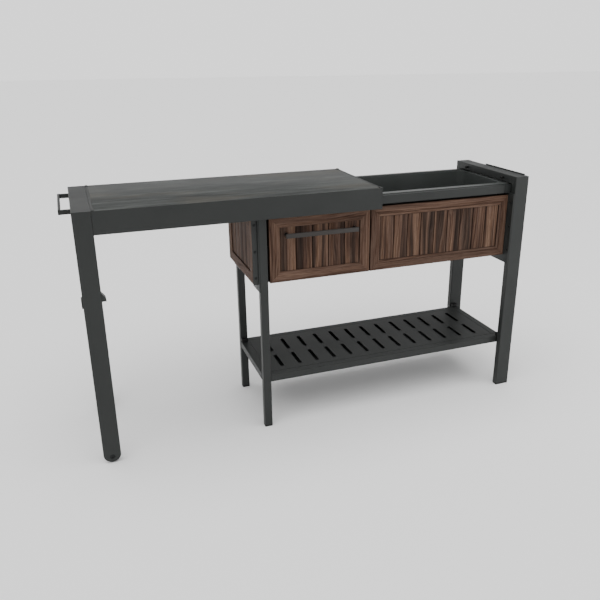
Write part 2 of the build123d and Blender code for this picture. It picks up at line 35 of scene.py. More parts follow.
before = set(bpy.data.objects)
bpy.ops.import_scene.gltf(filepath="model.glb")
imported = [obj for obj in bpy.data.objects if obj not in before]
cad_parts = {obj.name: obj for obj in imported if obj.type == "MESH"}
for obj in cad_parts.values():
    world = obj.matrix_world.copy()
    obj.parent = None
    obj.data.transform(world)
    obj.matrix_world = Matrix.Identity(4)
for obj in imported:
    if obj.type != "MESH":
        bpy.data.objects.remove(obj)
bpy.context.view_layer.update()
print("frame loaded:", len(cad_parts), "nodes")


def mm(value):
    return value / 1000


def linear(hexColour):
    # sRGB hex to the linear RGBA that a shader reads
    channels = [int(hexColour[i:i + 2], 16) / 255 for i in (1, 3, 5)]
    return tuple(c / 12.92 if c <= 0.04045 else ((c + 0.055) / 1.055) ** 2.4 for c in channels) + (1.0,)


def plugIn(tree, node, values):
    # values maps a socket's name or index to a number, an output, or a node, whose first live output is meant
    for key, value in values.items():
        if isinstance(value, bpy.types.Node):
            value = next(output for output in value.outputs if output.enabled)
        if isinstance(value, bpy.types.NodeSocket):
            tree.links.new(value, node.inputs[key])
        else:
            node.inputs[key].default_value = value


def addNode(tree, kind, values=None, stops=(), **settings):
    # stops are the (place, hex colour) pairs of a colour ramp
    node = tree.nodes.new(kind)
    for name, setting in settings.items():
        setattr(node, name, setting)
    plugIn(tree, node, values or {})
    while stops and len(node.color_ramp.elements) < len(stops):
        node.color_ramp.elements.new(0.5)
    for i, (place, colour) in enumerate(stops):
        node.color_ramp.elements[i].position = place
        node.color_ramp.elements[i].color = linear(colour)
    return node


def link(obj):
    bpy.context.scene.collection.objects.link(obj)
    return obj


def finishPiece(obj, body, slot, *replaced):
    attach(obj, body)
    if replaced:
        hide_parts(*replaced)


def smoothByAngle(mesh, degrees=35):
    mesh.shade_smooth()
    mesh.set_sharp_from_angle(angle=math.radians(degrees))


def pieceFrom(name, shape, material):
    # turns a bmesh into a linked object with one material
    mesh = bpy.data.meshes.new(name)
    shape.to_mesh(mesh)
    shape.free()
    mesh.materials.append(material)
    smoothByAngle(mesh)
    return link(bpy.data.objects.new(name, mesh))


# Camera, lights and floor

view = {"place": (-0.8272, -2.3656, 1.3971), "pitch": 69.55, "turn": -21.14, "lens": 39.79, "sensor": 36,
        "shift": (-0.0408, -0.0117)}


def makeCamera():
    camera = bpy.data.cameras.new("camera")
    camera.sensor_width = view["sensor"]
    camera.lens = view["lens"]
    camera.shift_x, camera.shift_y = view["shift"]
    obj = link(bpy.data.objects.new("camera", camera))
    obj.location = view["place"]
    obj.rotation_euler = (math.radians(view["pitch"]), 0, math.radians(view["turn"]))
    bpy.context.scene.camera = obj


studio = {
    "paper": "#ffffff", "horizon": 1.5,  # brightness of the backdrop, up to edge[0]
    "above": 0.45,                       # what it has fallen to at edge[1]
    "edge": (0.14, 0.26),
    "overhead": {"strength": 3.2, "spread": 75, "tilt": (12, -8)},  # one big soft box, in degrees
    "side": {"place": (3.4, -2.2, 1.3), "target": (0.6, 0, 0.7), "size": 1.8, "power": 25},
    "floor": {"colour": "#fafafa", "roughness": 0.9, "reach": 30, "drop": mm(0.5)},
}


def makeBackdrop():
    world = bpy.data.worlds.new("studio")
    world.use_nodes = True
    tree = world.node_tree
    towards = addNode(tree, "ShaderNodeTexCoord").outputs["Generated"]
    upward = addNode(tree, "ShaderNodeSeparateXYZ", {0: towards}).outputs["Z"]
    low, high = studio["edge"]
    fade = addNode(tree, rescale, {"Value": upward, "From Min": low, "From Max": high,
                                   "To Min": studio["horizon"], "To Max": studio["above"]})
    plugIn(tree, tree.nodes["Background"], {"Color": linear(studio["paper"]), "Strength": fade})
    bpy.context.scene.world = world


def makeLights():
    overhead, side = studio["overhead"], studio["side"]
    box = bpy.data.lights.new("overheadBox", "SUN")
    box.energy = overhead["strength"]
    box.angle = math.radians(overhead["spread"])
    obj = link(bpy.data.objects.new("overheadBox", box))
    obj.rotation_euler = [math.radians(angle) for angle in overhead["tilt"]] + [0]
    lamp = bpy.data.lights.new("rightLight", "AREA")
    lamp.size = side["size"]
    lamp.energy = side["power"]
    obj = link(bpy.data.objects.new("rightLight", lamp))
    obj.location = side["place"]
    aim = Vector(side["target"]) - Vector(side["place"])
    obj.rotation_euler = aim.to_track_quat("-Z", "Y").to_euler()


def makeFloor():
    sheet = studio["floor"]
    paper, tree, shader = startMaterial("paperFloor", Roughness=sheet["roughness"])
    plugIn(tree, shader, {"Base Color": linear(sheet["colour"])})
    shape = bmesh.new()
    bmesh.ops.create_grid(shape, x_segments=1, y_segments=1, size=sheet["reach"])
    floor = pieceFrom("studioFloor", shape, paper)
    floor.location.z = -sheet["drop"]


# Finishes

mapping, noise, colourRamp, mix = "ShaderNodeMapping", "ShaderNodeTexNoise", "ShaderNodeValToRGB", "ShaderNodeMix"
rescale, combine, addVectors = "ShaderNodeMapRange", "ShaderNodeCombineXYZ", "ShaderNodeVectorMath"
bump = "ShaderNodeBump"
cover = {"data_type": "RGBA"}                               # one colour over another
darken = {"data_type": "RGBA", "blend_type": "MULTIPLY"}    # one colour times another


def startMaterial(name, **sockets):
    material = bpy.data.materials.new(name)
    material.use_nodes = True
    shader = material.node_tree.nodes["Principled BSDF"]
    for socket, value in sockets.items():
        shader.inputs[socket.replace("_", " ")].default_value = value
    return material, material.node_tree, shader


coat = {  # cloud, speck and peel are in bumps per metre: 170, 1.1 and 2.2 mm
    "cloud": 6, "speck": 900, "peel": 450, "peelDepth": mm(0.06), "sheen": 0.25, "speckShare": 0.35}


def powderCoat(name, darkHex, paleHex, roughness):
    # Polyester powder coat on steel: an even satin film with orange peel about 2 mm across
    material, tree, shader = startMaterial(name, IOR=1.5, Metallic=0.0, Specular_IOR_Level=coat["sheen"])
    place = addNode(tree, "ShaderNodeTexCoord").outputs["Object"]
    cloud = addNode(tree, noise, {"Vector": place, "Scale": coat["cloud"], "Detail": 3})
    speck = addNode(tree, noise, {"Vector": place, "Scale": coat["speck"], "Detail": 2, "Roughness": 0.6})
    peel = addNode(tree, noise, {"Vector": place, "Scale": coat["peel"], "Detail": 1})
    tone = addNode(tree, mix, {0: coat["speckShare"], 6: cloud, 7: speck}, **cover)
    colour = addNode(tree, colourRamp, {"Fac": tone}, [(0.3, darkHex), (0.7, paleHex)])
    gloss = addNode(tree, rescale, {"Value": cloud, "From Min": 0.3, "From Max": 0.7,
                                    "To Min": roughness - 0.04, "To Max": roughness + 0.05})
    relief = addNode(tree, bump, {"Height": peel, "Distance": coat["peelDepth"], "Strength": 0.6})
    plugIn(tree, shader, {"Base Color": colour, "Roughness": gloss, "Normal": relief})
    return material


wood = {
    "tones": ["#352d29", "#4c403a", "#66554c", "#766356", "#5f504b"],
    "bandPlaces": [0.30, 0.42, 0.50, 0.58, 0.70],
    # the dark colour after the pores is painted shade for the gaps between planks and the frame's recesses
    "pore": "#1d130f", "joint": "#1a110d", "sheen": 0.1, "poreDepth": mm(0.3),
    "sway": {"Y": mm(16), "Z": mm(6)},      # how far the grain wanders across and through the board
    # stretch in bumps per metre along, across and through the board, then detail and roughness
    "warp": ((4, 22, 22), 1, 0.5),
    "bands": ((1.3, 38, 38), 2, 0.5),       # heartwood bands 26 mm wide
    "lines": ((3.0, 150, 150), 3, 0.6),     # growth lines 7 mm apart
    "fibres": ((12, 520, 520), 2, 0.6),     # drawn 2 mm wide, so that they show
    "pores": ((40, 1300, 1300), 1, 0.5),    # 1 mm wide and 25 mm long
}


def grainFigures(tree, place, recipe, names):
    # noise drawn out along the grain; the first figure makes the others wander aside by the recipe's sway
    figures = {}
    for name in names:
        stretch, detail, rough = recipe[name]
        drawn = addNode(tree, mapping, {"Vector": place, "Scale": stretch})
        figures[name] = addNode(tree, noise, {"Vector": drawn, "Scale": 1.0, "Detail": detail,
                                              "Roughness": rough})
        if name == names[0]:
            aside = {axis: addNode(tree, rescale, {"Value": figures[name], "To Min": -reach, "To Max": reach})
                     for axis, reach in recipe["sway"].items()}
            place = addNode(tree, addVectors, {0: place, 1: addNode(tree, combine, aside)})
    return figures


def oiledWalnut(name):
    # Oiled walnut: red-brown and violet bands, dark growth lines, open pores, a low satin from the oil
    material, tree, shader = startMaterial(name, IOR=1.47, Specular_IOR_Level=wood["sheen"])
    grain = addNode(tree, "ShaderNodeAttribute", attribute_name="grain").outputs["Vector"]
    tone, across, calm = [addNode(tree, "ShaderNodeAttribute", attribute_name=layer).outputs["Fac"]
                          for layer in ("tone", "across", "calm")]
    figures = grainFigures(tree, grain, wood, ["warp", "bands", "lines", "fibres", "pores"])
    banded = addNode(tree, colourRamp, {"Fac": figures["bands"]}, list(zip(wood["bandPlaces"], wood["tones"])))
    colour = addNode(tree, mix, {0: calm, 6: banded, 7: linear(wood["tones"][2])}, **cover)  # plainer frames
    layers = [  # what darkens the bands: its share, its value and its tones
        (0.8, figures["lines"], [(0.34, "#7d6a60"), (0.44, "#cfc2ba"), (0.56, "#ffffff")]),
        (0.7, figures["fibres"], [(0.32, "#a3948b"), (0.5, "#e9e2dd"), (0.68, "#ffffff")]),
        (0.8, tone, [(0.0, "#cabbb4"), (0.5, "#e8dcd3"), (1.0, "#fff4e8")]),
    ]
    for share, value, stops in layers:
        layer = addNode(tree, colourRamp, {"Fac": value}, stops)
        colour = addNode(tree, mix, {0: share, 6: colour, 7: layer}, **darken)
    inPore = addNode(tree, rescale, {"Value": figures["pores"], "From Min": 0.30, "From Max": 0.40,
                                     "To Min": 0.45, "To Max": 0.0})
    colour = addNode(tree, mix, {0: inPore, 6: colour, 7: linear(wood["pore"])}, **cover)
    # painted shade: the plank edges next to the gaps and the frame faces set back behind its face are darkened
    side = addNode(tree, "ShaderNodeMath", {0: across}, operation="ABSOLUTE")
    inGapShade = addNode(tree, rescale, {"Value": side, "From Min": 0.90, "To Max": 0.75})
    colour = addNode(tree, mix, {0: inGapShade, 6: colour, 7: linear(wood["joint"])}, **cover)  # painted shade in the gaps between planks and on the frame's recessed faces
    gloss = addNode(tree, rescale, {"Value": figures["fibres"], "From Min": 0.3, "From Max": 0.7,
                                    "To Min": 0.74, "To Max": 0.60})
    height = addNode(tree, rescale, {"Value": figures["pores"], "From Min": 0.30, "From Max": 0.45})
    relief = addNode(tree, bump, {"Height": height, "Distance": wood["poreDepth"], "Strength": 0.5})
    plugIn(tree, shader, {"Base Color": colour, "Roughness": gloss, "Normal": relief})
    return material


laminate = {
    "sheen": 0.25, "relief": mm(0.25), "stain": "#4b453b", "sway": {"Y": mm(9)},
    "wave": ((3, 14, 1), 2, 0.5),
    "clouds": ((3.5, 30, 1), 4, 0.6),       # 290 x 33 mm
    "streaks": ((10, 210, 1), 4, 0.65),     # 100 x 5 mm
    "hairs": ((26, 900, 1), 2, 0.6),        # 38 x 1 mm
    "stains": ((3.5, 9, 1), 2, 0.5),        # 280 x 110 mm
}


def printedBoard(name):
    # Compact laminate with a weathered timber print: pale grey streaks along X and brownish clouds
    material, tree, shader = startMaterial(name, IOR=1.5, Specular_IOR_Level=laminate["sheen"])
    place = addNode(tree, "ShaderNodeTexCoord").outputs["Object"]
    figures = grainFigures(tree, place, laminate, ["wave", "clouds", "streaks", "hairs", "stains"])
    colour = addNode(tree, colourRamp, {"Fac": figures["clouds"]},
                     [(0.32, "#303231"), (0.5, "#494c4b"), (0.68, "#656866")])
    layers = [  # what darkens the clouds: its share, its figure and its tones
        (0.8, "streaks", [(0.32, "#6f706e"), (0.5, "#d0d0ce"), (0.7, "#ffffff")]),
        (0.5, "hairs", [(0.36, "#8a8a88"), (0.6, "#ffffff")]),
    ]
    for share, figure, stops in layers:
        layer = addNode(tree, colourRamp, {"Fac": figures[figure]}, stops)
        colour = addNode(tree, mix, {0: share, 6: colour, 7: layer}, **darken)
    inStain = addNode(tree, rescale, {"Value": figures["stains"], "From Min": 0.52, "From Max": 0.68,
                                      "To Max": 0.35})
    colour = addNode(tree, mix, {0: inStain, 6: colour, 7: linear(laminate["stain"])}, **cover)
    gloss = addNode(tree, rescale, {"Value": figures["clouds"], "From Min": 0.3, "From Max": 0.7,
                                    "To Min": 0.5, "To Max": 0.62})
    relief = addNode(tree, bump, {"Height": figures["streaks"], "Distance": laminate["relief"], "Strength": 0.4})
    plugIn(tree, shader, {"Base Color": colour, "Roughness": gloss, "Normal": relief})
    return material


def mouldedPlastic(name, darkHex, paleHex, roughness):
    # Injection-moulded polymer: fine spark-eroded texture, soft broad highlight
    material, tree, shader = startMaterial(name, IOR=1.49, Specular_IOR_Level=0.25)
    place = addNode(tree, "ShaderNodeTexCoord").outputs["Object"]
    grainsPerMetre = 1400  # 0.7 mm, a little coarse, so that it shows
    speck = addNode(tree, noise, {"Vector": place, "Scale": grainsPerMetre, "Detail": 2, "Roughness": 0.6})
    colour = addNode(tree, colourRamp, {"Fac": speck}, [(0.3, darkHex), (0.7, paleHex)])
    gloss = addNode(tree, rescale, {"Value": speck, "From Min": 0.3, "From Max": 0.7, "To Min": roughness,
                                    "To Max": roughness + 0.1})
    relief = addNode(tree, bump, {"Height": speck, "Distance": mm(0.05), "Strength": 0.5})
    plugIn(tree, shader, {"Base Color": colour, "Roughness": gloss, "Normal": relief})
    return material


def blackSteel(name, darkHex, paleHex, roughness):
    # Blackened (black zinc) steel: faint spangle and fine grit, metal keeps the default IOR
    material, tree, shader = startMaterial(name, Metallic=1.0)
    place = addNode(tree, "ShaderNodeTexCoord").outputs["Object"]
    spangles, grits = 160, 700  # per metre: 6 mm patches and 1.4 mm grit, drawn coarse so that it shows
    spangle = addNode(tree, noise, {"Vector": place, "Scale": spangles, "Detail": 3, "Roughness": 0.6})
    grit = addNode(tree, noise, {"Vector": place, "Scale": grits, "Detail": 1})
    colour = addNode(tree, colourRamp, {"Fac": spangle}, [(0.3, darkHex), (0.7, paleHex)])
    gloss = addNode(tree, rescale, {"Value": spangle, "From Min": 0.3, "From Max": 0.7,
                                    "To Min": roughness - 0.06, "To Max": roughness + 0.08})
    relief = addNode(tree, bump, {"Height": grit, "Distance": mm(0.03), "Strength": 0.5})
    plugIn(tree, shader, {"Base Color": colour, "Roughness": gloss, "Normal": relief})
    return material


charcoalCoat = powderCoat("charcoalPowderCoat", "#222423", "#2a2c2b", 0.46)
# the tub is the charcoal coat painted paler: painted light that stands in for the light its shaded inside lacks
paintedLightTubCoat = powderCoat("tubCoatWithPaintedLight", "#3c3f3d", "#464948", 0.36)
walnut = oiledWalnut("oiledWalnut")
greyBoard = printedBoard("timberPrintLaminate")
handleCoat = powderCoat("umberPowderCoat", "#2b2826", "#353230", 0.5)
charcoalPlastic = mouldedPlastic("charcoalNylon", "#222423", "#2a2c2b", 0.45)
blackPlastic = mouldedPlastic("blackPolypropylene", "#111111", "#1a1a1a", 0.5)
rubber = mouldedPlastic("blackRubber", "#0e0e0e", "#171716", 0.7)
darkSteel = blackSteel("blackenedSteel", "#232424", "#333434", 0.42)
print("finishes made")


# Geometry Nodes

maths, quadrilateral, fillet, sweep, instances, store = (
    "ShaderNodeMath", "GeometryNodeCurvePrimitiveQuadrilateral", "GeometryNodeFilletCurve",
    "GeometryNodeCurveToMesh", "GeometryNodeInstanceOnPoints", "GeometryNodeStoreNamedAttribute")
onPoints = {"data_type": "FLOAT_VECTOR", "domain": "POINT"}
grainReach = 9  # how far apart, in metres of grain, two boards may be cut


def newTree(name, sockets):
    # sockets are (name, kind, default); the group's output is one geometry
    tree = bpy.data.node_groups.new(name, "GeometryNodeTree")
    tree.interface.new_socket("Geometry", in_out="OUTPUT", socket_type="NodeSocketGeometry")
    for label, kind, default in [("Geometry", "Geometry", None)] + sockets:
        item = tree.interface.new_socket(label, in_out="INPUT", socket_type="NodeSocket" + kind)
        if default is not None:
            item.default_value = default
    return tree, addNode(tree, "NodeGroupInput").outputs


def endTree(tree, geometry, material):
    real = addNode(tree, "GeometryNodeRealizeInstances", {"Geometry": geometry})
    painted = addNode(tree, "GeometryNodeSetMaterial", {"Geometry": real, "Material": material})
    addNode(tree, "NodeGroupOutput", {"Geometry": painted})
    return tree


def grow(name, tree, values, startMesh=None):
    # runs a tree once and keeps its mesh
    obj = link(bpy.data.objects.new(name, startMesh or bpy.data.meshes.new(name)))
    modifier = obj.modifiers.new("grow", "NODES")
    modifier.node_group = tree
    for item in tree.interface.items_tree:
        if item.item_type == "SOCKET" and item.in_out == "INPUT" and item.name in values:
            modifier[item.identifier] = values[item.name]
    depsgraph = bpy.context.evaluated_depsgraph_get()
    mesh = bpy.data.meshes.new_from_object(obj.evaluated_get(depsgraph), preserve_all_data_layers=True,
                                           depsgraph=depsgraph)
    obj.modifiers.clear()
    obj.data = mesh
    mesh.name = name
    smoothByAngle(mesh)
    return obj


def plankRowTree():
    # a row of upright planks with rounded long edges, each with its own piece of grain
    tree, given = newTree("plankRow", [
        ("Count", "Int", 5), ("Pitch", "Float", 0.06), ("Height", "Float", 0.15), ("Thickness", "Float", 0.01),
        ("Gap", "Float", 0.001), ("Edge", "Float", 0.002), ("Seed", "Int", 1), ("Corner", "Vector", None),
        ("Turn", "Float", 0.0), ("Material", "Material", None)])
    width = addNode(tree, maths, {0: given["Pitch"], 1: given["Gap"]}, operation="SUBTRACT")
    flat = addNode(tree, quadrilateral, {"Width": width, "Height": given["Thickness"]})
    eased = addNode(tree, fillet, {"Curve": flat, "Radius": given["Edge"], "Limit Radius": True,
                                   "Count": 3}, mode="POLY")
    top = addNode(tree, combine, {"Z": given["Height"]})
    upright = addNode(tree, "GeometryNodeCurvePrimitiveLine", {"End": top})
    plank = addNode(tree, sweep, {"Curve": upright, "Profile Curve": eased, "Fill Caps": True})
    place = addNode(tree, "ShaderNodeSeparateXYZ", {0: addNode(tree, "GeometryNodeInputPosition")}).outputs
    along = addNode(tree, combine, {"X": place["Z"], "Y": place["X"], "Z": place["Y"]})
    plank = addNode(tree, store, {"Geometry": plank, "Name": "grain", "Value": along}, **onPoints)
    halfWidth = addNode(tree, maths, {0: width, 1: 0.5}, operation="MULTIPLY")
    across = addNode(tree, rescale, {"Value": place["X"], "From Max": halfWidth}, clamp=False)
    plank = addNode(tree, store, {"Geometry": plank, "Name": "across", "Value": across},
                    data_type="FLOAT", domain="POINT")
    halfPitch = addNode(tree, maths, {0: given["Pitch"], 1: 0.5}, operation="MULTIPLY")
    halfDepth = addNode(tree, maths, {0: given["Thickness"], 1: 0.5}, operation="MULTIPLY")
    first = addNode(tree, combine, {"X": halfPitch, "Y": halfDepth})
    step = addNode(tree, combine, {"X": given["Pitch"]})
    row = addNode(tree, "GeometryNodeMeshLine", {"Count": given["Count"], "Start Location": first,
                                                 "Offset": step}, mode="OFFSET")
    planks = addNode(tree, instances, {"Points": row, "Instance": plank})
    shift = addNode(tree, "FunctionNodeRandomValue", {"Min": [-grainReach] * 3, "Max": [grainReach] * 3,
                                                      "Seed": given["Seed"]}, data_type="FLOAT_VECTOR")
    shifted = addNode(tree, store, {"Geometry": planks, "Name": "shift", "Value": shift},
                      data_type="FLOAT_VECTOR", domain="INSTANCE")
    tone = addNode(tree, "FunctionNodeRandomValue", {"Seed": given["Seed"]}, data_type="FLOAT")
    toned = addNode(tree, store, {"Geometry": shifted, "Name": "tone", "Value": tone},
                    data_type="FLOAT", domain="INSTANCE")
    real = addNode(tree, "GeometryNodeRealizeInstances", {"Geometry": toned})
    both = [addNode(tree, "GeometryNodeInputNamedAttribute", {"Name": layer}, data_type="FLOAT_VECTOR")
            for layer in ("grain", "shift")]
    total = addNode(tree, addVectors, dict(enumerate(both)))
    grained = addNode(tree, store, {"Geometry": real, "Name": "grain", "Value": total}, **onPoints)
    turn = addNode(tree, combine, {"Z": given["Turn"]})
    moved = addNode(tree, "GeometryNodeTransform", {"Geometry": grained, "Translation": given["Corner"],
                                                    "Rotation": turn})
    return endTree(tree, moved, given["Material"])


def scatterTree():
    # copies one part onto each point, its +Z along the point's "facing", spun by a seeded angle
    tree, given = newTree("scatterPart", [("Part", "Object", None), ("Seed", "Int", 1), ("Spin", "Float", 0.0),
                                          ("Material", "Material", None)])
    facing = addNode(tree, "GeometryNodeInputNamedAttribute", {"Name": "facing"}, data_type="FLOAT_VECTOR")
    aim = addNode(tree, "FunctionNodeAlignRotationToVector", {"Vector": facing}, axis="Z")
    angle = addNode(tree, "FunctionNodeRandomValue", {2: 0.0, 3: given["Spin"], "Seed": given["Seed"]},
                    data_type="FLOAT")
    spin = addNode(tree, "FunctionNodeAxisAngleToRotation", {"Axis": (0, 0, 1), "Angle": angle})
    turned = addNode(tree, "FunctionNodeRotateRotation", {"Rotation": aim, "Rotate By": spin},
                     rotation_space="LOCAL")
    part = addNode(tree, "GeometryNodeObjectInfo", {"Object": given["Part"]}).outputs["Geometry"]
    copies = addNode(tree, instances, {"Points": given["Geometry"], "Instance": part, "Rotation": turned})
    return endTree(tree, copies, given["Material"])


def slotRimTree():
    # the rolled lip round each slot of a punched sheet: two rows of long rounded slots
    tree, given = newTree("slotRims", [
        ("Count", "Int", 13), ("Pitch", "Float", 0.07), ("Length", "Float", 0.1), ("Width", "Float", 0.017),
        ("Row", "Float", 0.07), ("Lip", "Float", 0.001), ("Middle", "Vector", None),
        ("Material", "Material", None)])
    oblong = addNode(tree, quadrilateral, {"Width": given["Width"], "Height": given["Length"]})
    nearlyHalf = 0.4999  # of the width, so that a round end keeps a sliver of its straight edge
    half = addNode(tree, maths, {0: given["Width"], 1: nearlyHalf}, operation="MULTIPLY")
    oval = addNode(tree, fillet, {"Curve": oblong, "Radius": half, "Limit Radius": True,
                                  "Count": 8}, mode="POLY")
    wire = addNode(tree, "GeometryNodeCurvePrimitiveCircle", {"Resolution": 8, "Radius": given["Lip"]})
    lip = addNode(tree, sweep, {"Curve": oval, "Profile Curve": wire})
    gaps = addNode(tree, maths, {0: given["Count"], 1: 1.0}, operation="SUBTRACT")
    span = addNode(tree, maths, {0: given["Pitch"], 1: gaps}, operation="MULTIPLY")
    grid = addNode(tree, "GeometryNodeMeshGrid", {"Vertices X": given["Count"], "Vertices Y": 2,
                                                  "Size X": span, "Size Y": given["Row"]})
    lips = addNode(tree, instances, {"Points": grid, "Instance": lip})
    moved = addNode(tree, "GeometryNodeTransform", {"Geometry": lips, "Translation": given["Middle"]})
    return endTree(tree, moved, given["Material"])


def pointsMesh(name, places):
    # places are (point, facing)
    mesh = bpy.data.meshes.new(name)
    mesh.from_pydata([place for place, _ in places], [], [])
    layer = mesh.attributes.new("facing", "FLOAT_VECTOR", "POINT")
    layer.data.foreach_set("vector", [c for _, facing in places for c in facing])
    return mesh


plankRow, scatter, slotRims = plankRowTree(), scatterTree(), slotRimTree()


# Metalwork: carried-over parts get their finish, folded sheet gets eased edges

coatNodes = ["left_front_post", "left_rear_post", "right_front_post", "right_rear_post", "right_top_beam",
             "front_rail", "rear_rail", "left_cross_rail", "right_cross_rail", "hanger_strip", "shelf_frame",
             "board_edge_trims", "front_apron", "rear_apron", "rolling_front_leg", "rolling_rear_leg", "cap_beam",
             "pull_handle", "wheel_forks", "underside_ribs", "shelf_panel"]
finishOf = {name: (charcoalCoat, "charcoal_coat") for name in coatNodes}
finishOf.update({
    "tub": (paintedLightTubCoat, "tub_coat"), "corner_caps": (charcoalPlastic, "charcoal_plastic"),
    "rail_end_blocks": (charcoalPlastic, "charcoal_plastic"), "post_feet": (blackPlastic, "black_plastic"),
    "stop_buffers": (rubber, "rubber"), "roller_pins": (darkSteel, "dark_steel")})
for name, (material, slotName) in finishOf.items():
    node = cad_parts[name]
    node.data.materials.clear()
    node.data.materials.append(material)


easing = {"segments": 2, "sharp": 40, "flat": 1, "merge": mm(0.001)}  # angles in degrees


def easedCopy(name, edge, material, slotName, body):
    # a merged copy of a sharp-edged sheet part with its edges eased
    shape = bmesh.new()
    shape.from_mesh(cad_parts[name].data)
    bmesh.ops.remove_doubles(shape, verts=shape.verts, dist=easing["merge"])
    flat, steep = math.radians(easing["flat"]), math.radians(easing["sharp"])
    bmesh.ops.dissolve_limit(shape, angle_limit=flat, verts=shape.verts, edges=shape.edges)
    sharp = [e for e in shape.edges if e.is_manifold and e.calc_face_angle(0) > steep]
    bmesh.ops.bevel(shape, geom=sharp, offset=edge, segments=easing["segments"], profile=0.5,
                    affect="EDGES", clamp_overlap=True)
    obj = pieceFrom("eased_" + name, shape, material)
    finishPiece(obj, body, slotName, name)


easedParts = [  # node, edge radius in mm, finish, slot, body
    ("left_side_plates", 0.6, charcoalCoat, "charcoal_coat", "stand"),
    ("right_side_plates", 0.6, charcoalCoat, "charcoal_coat", "stand"),
    ("side_panel_trims", 0.4, charcoalCoat, "charcoal_coat", "stand"),
    ("cabinet_floor", 0.5, charcoalCoat, "charcoal_coat", "stand"),
    ("cabinet_left_wall", 0.5, charcoalCoat, "charcoal_coat", "stand"),
    ("cabinet_right_wall", 0.5, charcoalCoat, "charcoal_coat", "stand"),
    ("cabinet_divider", 0.5, charcoalCoat, "charcoal_coat", "stand"),
    ("shelf_brackets", 0.8, blackPlastic, "black_plastic", "stand"),
    ("left_end_rail", 0.6, charcoalCoat, "charcoal_coat", "worktop"),
    ("right_end_rail", 0.6, charcoalCoat, "charcoal_coat", "worktop"),
    ("leg_catch", 0.6, charcoalCoat, "charcoal_coat", "worktop"),
    ("drawer_handle", 0.6, handleCoat, "charcoal_coat", "drawer"),
    ("handle_posts", 0.5, blackPlastic, "black_plastic", "drawer"),
    ("roller_brackets", 0.3, darkSteel, "dark_steel", "worktop"),
    ("drawer_box", 0.5, charcoalCoat, "charcoal_coat", "drawer"),
    ("outer_runners", 0.3, darkSteel, "dark_steel", "stand"),
    ("middle_runners", 0.3, darkSteel, "dark_steel", "runner_middles"),
    ("inner_runners", 0.3, darkSteel, "dark_steel", "drawer"),
]
for name, edge, material, slotName, body in easedParts:
    easedCopy(name, mm(edge), material, slotName, body)
print("metalwork done")


# Shelf slots

shelfSlots = {
    "count": 13, "pitch": mm(73.5), "length": mm(106), "width": mm(17), "rowGap": mm(36),
    "lip": mm(0.9), "sunk": 0.75,  # the lip's radius, and how much of it lies in the sheet
}


def makeSlotRims():
    low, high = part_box("shelf_panel")
    middle = ((low.x + high.x) / 2, (low.y + high.y) / 2, high.z - shelfSlots["lip"] * shelfSlots["sunk"])
    rims = grow("shelf_slot_lips", slotRims, {
        "Count": shelfSlots["count"], "Pitch": shelfSlots["pitch"], "Length": shelfSlots["length"],
        "Width": shelfSlots["width"], "Row": shelfSlots["rowGap"] + shelfSlots["length"],
        "Lip": shelfSlots["lip"], "Middle": middle, "Material": charcoalCoat})
    finishPiece(rims, "stand", "charcoal_coat")


makeSlotRims()


# Wood cladding

cladding = {
    "border": mm(40), "thickness": mm(20), "plankSetBack": mm(5), "plankThickness": mm(10), "plankGap": mm(1.4),
    "plankEdge": mm(2.6), "plankWidth": mm(60), "mitreGap": mm(0.25), "calm": 0.65, "frameTone": (0.55, 0.8),
    "shadeBelow": mm(1.7),  # deeper than this behind the face the frame gets painted shade
    # distance in from the outer edge and depth behind the face, both in mm
    "plainProfile": [(0, 3.2), (0.35, 1.9), (1.3, 0.8), (3.0, 0.1), (4.2, 0), (37.2, 0), (38.9, 0.5),
                     (39.7, 1.5), (40, 3.0), (40, 8)],
    "mouldedProfile": [(0, 3.2), (0.35, 1.9), (1.3, 0.8), (3.0, 0.1), (4.2, 0), (26.0, 0), (27.0, 0.4),
                       (27.4, 1.8), (28.2, 2.2), (29.2, 1.6), (31.0, 0.8), (33.5, 0.6), (36.0, 1.2),
                       (38.4, 2.6), (39.7, 4.4), (40, 6.0), (40, 8)],
}
panels = [  # name, turn of its face, profile, body, seed
    ("drawer_front", 0, "plainProfile", "drawer", 4),
    ("front_panel", 0, "mouldedProfile", "stand", 11),
    ("rear_panel", 180, "mouldedProfile", "stand", 23),
    ("side_panel", -90, "plainProfile", "stand", 31),
]


def panelSpace(name, turn):
    # the panel's width, height, lower corner on its face, and its across and inward directions
    low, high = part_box(name + "_frame")
    size = high - low
    if turn == 0:
        return size.x, size.z, Vector((low.x, low.y, low.z)), Vector((1, 0, 0)), Vector((0, 1, 0))
    if turn == 180:
        return size.x, size.z, Vector((high.x, high.y, low.z)), Vector((-1, 0, 0)), Vector((0, -1, 0))
    return size.y, size.z, Vector((low.x, high.y, low.z)), Vector((0, -1, 0)), Vector((1, 0, 0))


